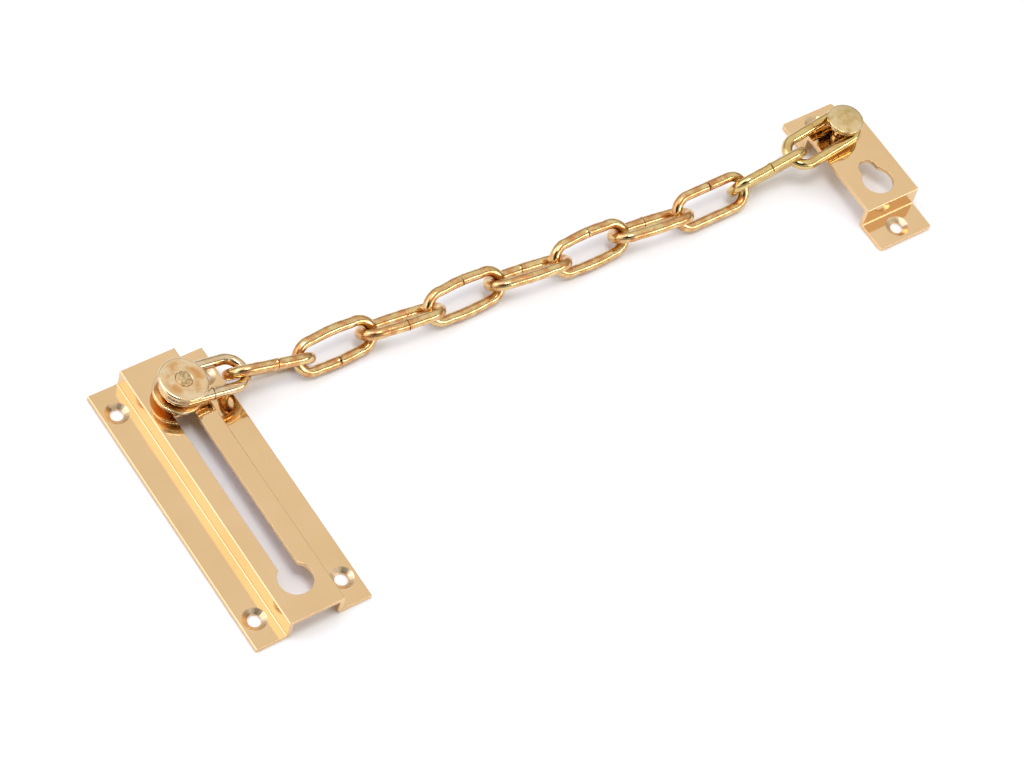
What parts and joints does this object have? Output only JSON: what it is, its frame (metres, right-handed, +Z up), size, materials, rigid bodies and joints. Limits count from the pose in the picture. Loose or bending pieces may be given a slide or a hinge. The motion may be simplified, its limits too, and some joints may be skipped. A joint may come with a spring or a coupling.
{
  "type": "door chain",
  "caption": "Polished brass security door chain: slotted slide plate with a captive runner, oval wire links and a keeper bracket with a keyhole and a stud.",
  "frame": {"origin": "the middle of the bounding box in X and Y, on the table (Z = 0) that both plates and the chain lie on", "axes": "+X along the chain from the slide plate to the keeper, +Y along the slide plate from its keyhole end to the runner's end, +Z up, away from the faces that are screwed down"},
  "size_m": [0.2846, 0.1, 0.0193],
  "materials": {
    "polished_brass": "polished sheet",
    "chain_brass": "bright drawn wire with a copper tint",
    "pale_brass": "turned and lightly brushed"
  },
  "bodies": {
    "slide_plate": {"slide_plate": "polished_brass"},
    "runner": {"runner_body": "pale_brass", "runner_cap": "pale_brass"},
    "link_01": {"chain_link_01": "chain_brass"},
    "link_02": {"chain_link_02": "chain_brass"},
    "link_03": {"chain_link_03": "chain_brass"},
    "link_04": {"chain_link_04": "chain_brass"},
    "link_05": {"chain_link_05": "chain_brass"},
    "link_06": {"chain_link_06": "chain_brass"},
    "link_07": {"chain_link_07": "chain_brass"},
    "link_08": {"chain_link_08": "chain_brass"},
    "link_09": {"chain_link_09": "chain_brass"},
    "link_10": {"chain_link_10": "chain_brass"},
    "link_11": {"chain_link_11": "chain_brass"},
    "keeper": {"keeper_plate": "polished_brass", "keeper_stud": "pale_brass"}
  },
  "joints": [
    {"name": "runner_slide", "type": "slide", "parent": "slide_plate", "child": "runner", "axis": [0, -1, 0], "range_m": [0, 0.0717]},
    {"name": "link_01_swing", "type": "hinge", "parent": "runner", "child": "link_01", "pos_m": [-0.12121, 0.0344, 0.00762], "axis": [0.1648, -0.0593, 0.9845], "range_deg": [-30, 45]},
    {"name": "link_02_swing", "type": "hinge", "parent": "link_01", "child": "link_02", "pos_m": [-0.09781, 0.03285, 0.00979], "axis": [0.1326, 0.9531, 0.272], "range_deg": [-30, 18]},
    {"name": "link_03_swing", "type": "hinge", "parent": "link_02", "child": "link_03", "pos_m": [-0.07551, 0.02928, 0.00572], "axis": [0.0395, -0.629, 0.7764], "range_deg": [-60, 60]},
    {"name": "link_04_swing", "type": "hinge", "parent": "link_03", "child": "link_04", "pos_m": [-0.05181, 0.02959, 0.00582], "axis": [-0.0338, -0.6679, -0.7435], "range_deg": [-60, 60]},
    {"name": "link_05_swing", "type": "hinge", "parent": "link_04", "child": "link_05", "pos_m": [-0.02807, 0.02679, 0.00566], "axis": [0.0376, 0.7415, -0.6699], "range_deg": [-60, 60]},
    {"name": "link_06_swing", "type": "hinge", "parent": "link_05", "child": "link_06", "pos_m": [-0.00437, 0.0272, 0.00582], "axis": [0.0338, 0.6679, 0.7435], "range_deg": [-60, 60]},
    {"name": "link_07_swing", "type": "hinge", "parent": "link_06", "child": "link_07", "pos_m": [0.01937, 0.0244, 0.00566], "axis": [-0.0376, -0.7415, 0.6699], "range_deg": [-60, 60]},
    {"name": "link_08_swing", "type": "hinge", "parent": "link_07", "child": "link_08", "pos_m": [0.04308, 0.02481, 0.00582], "axis": [-0.0338, -0.6679, -0.7435], "range_deg": [-60, 60]},
    {"name": "link_09_swing", "type": "hinge", "parent": "link_08", "child": "link_09", "pos_m": [0.06682, 0.02201, 0.00566], "axis": [0.0376, 0.7415, -0.6699], "range_deg": [-60, 60]},
    {"name": "link_10_swing", "type": "hinge", "parent": "link_09", "child": "link_10", "pos_m": [0.09052, 0.02242, 0.00582], "axis": [-0.0297, 0.8304, 0.5564], "range_deg": [-45, 60]},
    {"name": "link_11_swing", "type": "hinge", "parent": "link_10", "child": "link_11", "pos_m": [0.11318, 0.02253, 0.01137], "axis": [-0.1328, -0.2022, 0.9703], "range_deg": [-45, 45]},
    {"name": "keeper_swing", "type": "hinge", "parent": "link_11", "child": "keeper", "pos_m": [0.13156, 0.0245, 0.0125], "axis": [0, 0, 1], "range_deg": [-35, 180]}
  ]
}
